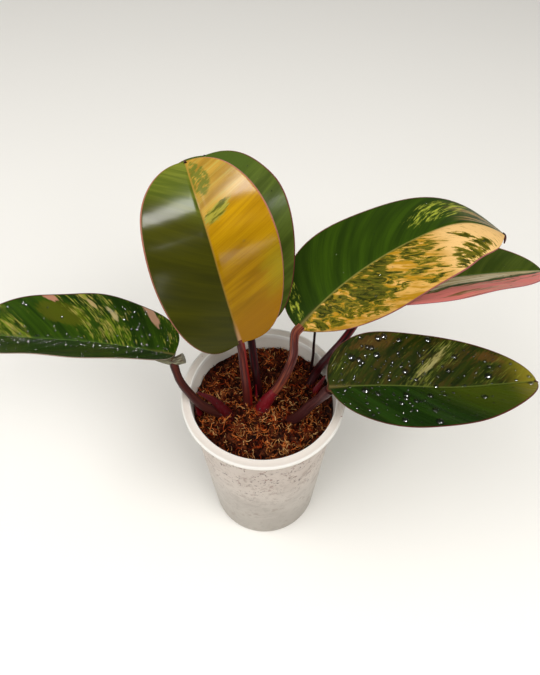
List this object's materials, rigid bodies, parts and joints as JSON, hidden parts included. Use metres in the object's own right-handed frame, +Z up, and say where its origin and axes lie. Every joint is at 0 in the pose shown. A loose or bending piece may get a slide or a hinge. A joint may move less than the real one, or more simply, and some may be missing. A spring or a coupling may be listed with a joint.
{
  "type": "potted congo rojo philodendron",
  "caption": "Young self-heading philodendron with broad variegated leaves on dark red stalks, growing in a frosted plastic cup pot.",
  "frame": {"origin": "middle of the pot's flat underside", "axes": "+Z up out of the pot, +X along the long spread of the leaves, -Y towards the open front of the plant"},
  "size_m": [0.3363, 0.1585, 0.225],
  "materials": {
    "leaf_green": "waxy green blade with lime streaks",
    "leaf_gold": "waxy blade, half olive and half golden",
    "leaf_marbled": "waxy blade, green and marbled cream",
    "leaf_pink": "waxy blade, green and pink",
    "leaf_dark": "waxy dark green blade",
    "stalk": "smooth dark maroon stalk",
    "sheath": "smooth crimson sheath",
    "dry": "dull dry stalk",
    "stem": "buried stem and roots",
    "soil": "loose moist coir and moss mix",
    "pot": "frosted translucent plastic"
  },
  "bodies": {
    "root": {"pot": "pot", "soil": "soil", "stem": "stem", "petiole_a": "stalk", "petiole_b": "stalk", "petiole_c": "stalk", "petiole_d": "stalk", "petiole_e": "stalk", "petiole_f": "stalk", "leaf_a": "leaf_green", "leaf_b": "leaf_gold", "leaf_c": "leaf_green", "leaf_d": "leaf_marbled", "leaf_e": "leaf_pink", "leaf_f": "leaf_dark", "sheath_a": "sheath", "sheath_d": "sheath", "sheath_e": "sheath", "sheath_small": "sheath", "shoot": "sheath", "dry_stalk": "dry"}
  },
  "joints": []
}
